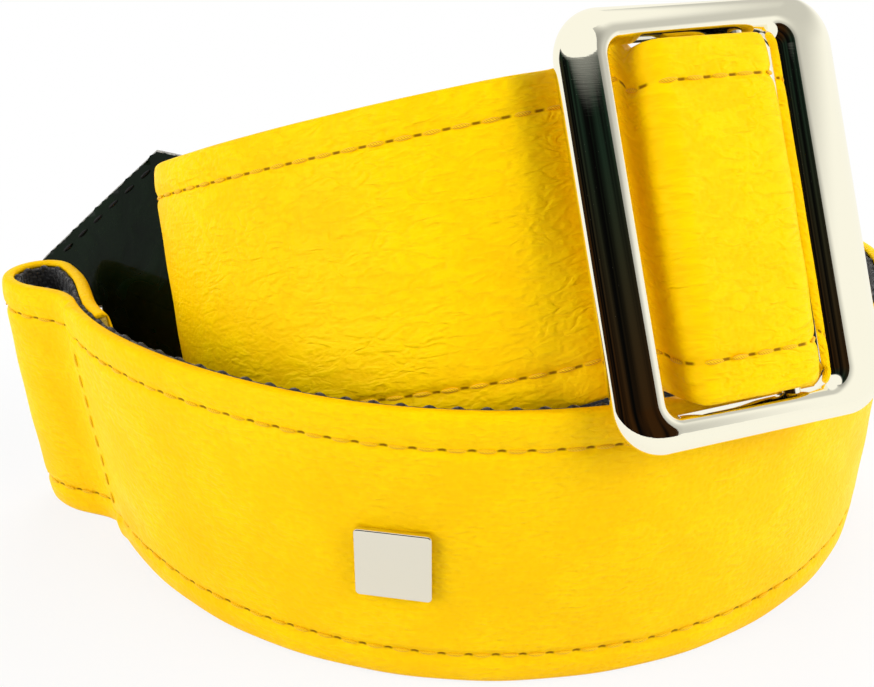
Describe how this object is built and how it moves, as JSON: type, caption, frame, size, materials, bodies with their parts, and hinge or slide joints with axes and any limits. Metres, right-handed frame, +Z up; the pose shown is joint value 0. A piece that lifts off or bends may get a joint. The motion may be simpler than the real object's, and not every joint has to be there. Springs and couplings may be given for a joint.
{
  "type": "guitar strap",
  "caption": "Rolled-up leather-faced guitar strap with webbing lining, sewn end loop, chrome slide in its folded end, square badge and leather end tab with a keyhole.",
  "frame": {"origin": "middle of the rolled strap's box, on the surface that it stands on", "axes": "+Z up, -Y the side with the badge, +X towards the slide"},
  "size_m": [0.2315, 0.1361, 0.1346],
  "materials": {
    "yellow_leather": "soft grained leather, satin",
    "foam": "thin foam padding",
    "black_webbing": "woven webbing",
    "yellow_thread": "twisted thread",
    "chrome": "polished",
    "badge_metal": "polished",
    "black_leather": "glossy",
    "black_thread": "twisted thread"
  },
  "bodies": {
    "strap": {"strap_cover": "yellow_leather", "strap_foam": "foam", "strap_webbing": "black_webbing", "upper_stitching": "yellow_thread", "lower_stitching": "yellow_thread", "loop_seam": "yellow_thread", "badge_plate": "badge_metal", "badge_backing": "badge_metal"},
    "slide": {"slide_frame": "chrome", "slide_bar": "chrome"},
    "tab": {"tab_front": "black_leather", "tab_back": "black_leather", "tab_stitching": "black_thread"}
  },
  "joints": [
    {"name": "slide_swing", "type": "hinge", "parent": "strap", "child": "slide", "pos_m": [0.06048, -0.03688, 0.09624], "axis": [-0.1646, 0.4082, 0.8979], "range_deg": [0, 10]},
    {"name": "tab_swing", "type": "hinge", "parent": "strap", "child": "tab", "pos_m": [-0.03931, 0.00672, 0.06298], "axis": [0.0974, -0.3994, -0.9116], "range_deg": [0, 5]}
  ]
}
